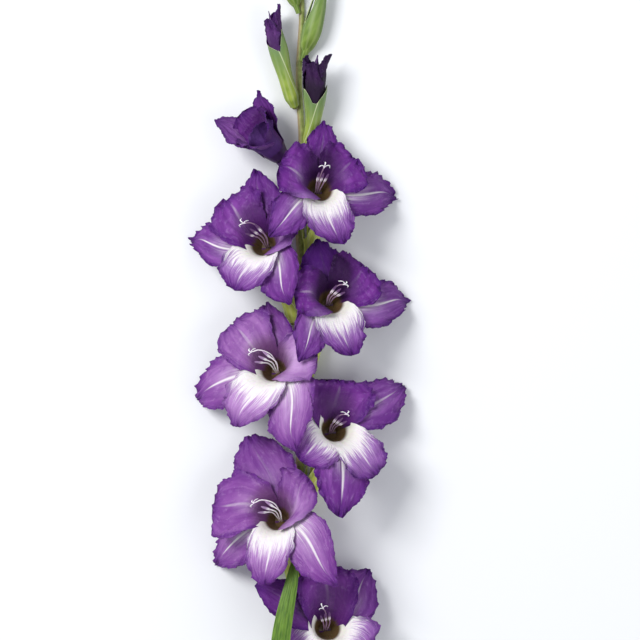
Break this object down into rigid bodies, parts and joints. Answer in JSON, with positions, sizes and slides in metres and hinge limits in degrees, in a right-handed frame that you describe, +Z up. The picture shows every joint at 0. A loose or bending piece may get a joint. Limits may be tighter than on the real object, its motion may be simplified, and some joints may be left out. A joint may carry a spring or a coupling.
{
  "type": "cut gladiolus",
  "caption": "Cut flower spike lying on its back: ruffled funnel blooms left and right of one stem, with furled buds at the tip and strap leaves at the base.",
  "frame": {"origin": "on the flat underside of the stem, behind the blooms, on the surface the spike lies on", "axes": "+Y along the stem towards its tip, +X to the right seen from above, +Z up from the surface towards the open faces of the blooms"},
  "size_m": [0.19, 1.004, 0.0747],
  "materials": {
    "petal": "violet tepal with a white blotch and darker waved edge, softly translucent",
    "stamen": "pale lilac anthers and white style",
    "bud": "dark violet furled tepals",
    "bract": "green bract with a pale thin margin",
    "stalk": "smooth yellow-green stem",
    "leaf": "ribbed green blade"
  },
  "bodies": {
    "root": {"stalk": "stalk", "bloom_1_perianth": "petal", "bloom_1_bracts": "bract", "bloom_1_stamens": "stamen", "bloom_2_perianth": "petal", "bloom_2_bracts": "bract", "bloom_2_stamens": "stamen", "bloom_3_perianth": "petal", "bloom_3_bracts": "bract", "bloom_3_stamens": "stamen", "bloom_4_perianth": "petal", "bloom_4_bracts": "bract", "bloom_4_stamens": "stamen", "bloom_5_perianth": "petal", "bloom_5_bracts": "bract", "bloom_5_stamens": "stamen", "bloom_6_perianth": "petal", "bloom_6_bracts": "bract", "bloom_6_stamens": "stamen", "bloom_7_perianth": "petal", "bloom_7_bracts": "bract", "bloom_7_stamens": "stamen", "bloom_half_open_perianth": "petal", "bloom_half_open_bracts": "bract", "bud_left_petals": "bud", "bud_left_bracts": "bract", "bud_right_petals": "bud", "bud_right_bracts": "bract", "green_bud_1": "bract", "green_bud_2": "bract", "green_bud_3": "bract", "green_bud_4": "bract", "green_bud_5": "bract", "leaf_front": "leaf", "leaf_left": "leaf", "leaf_right": "leaf"}
  },
  "joints": []
}
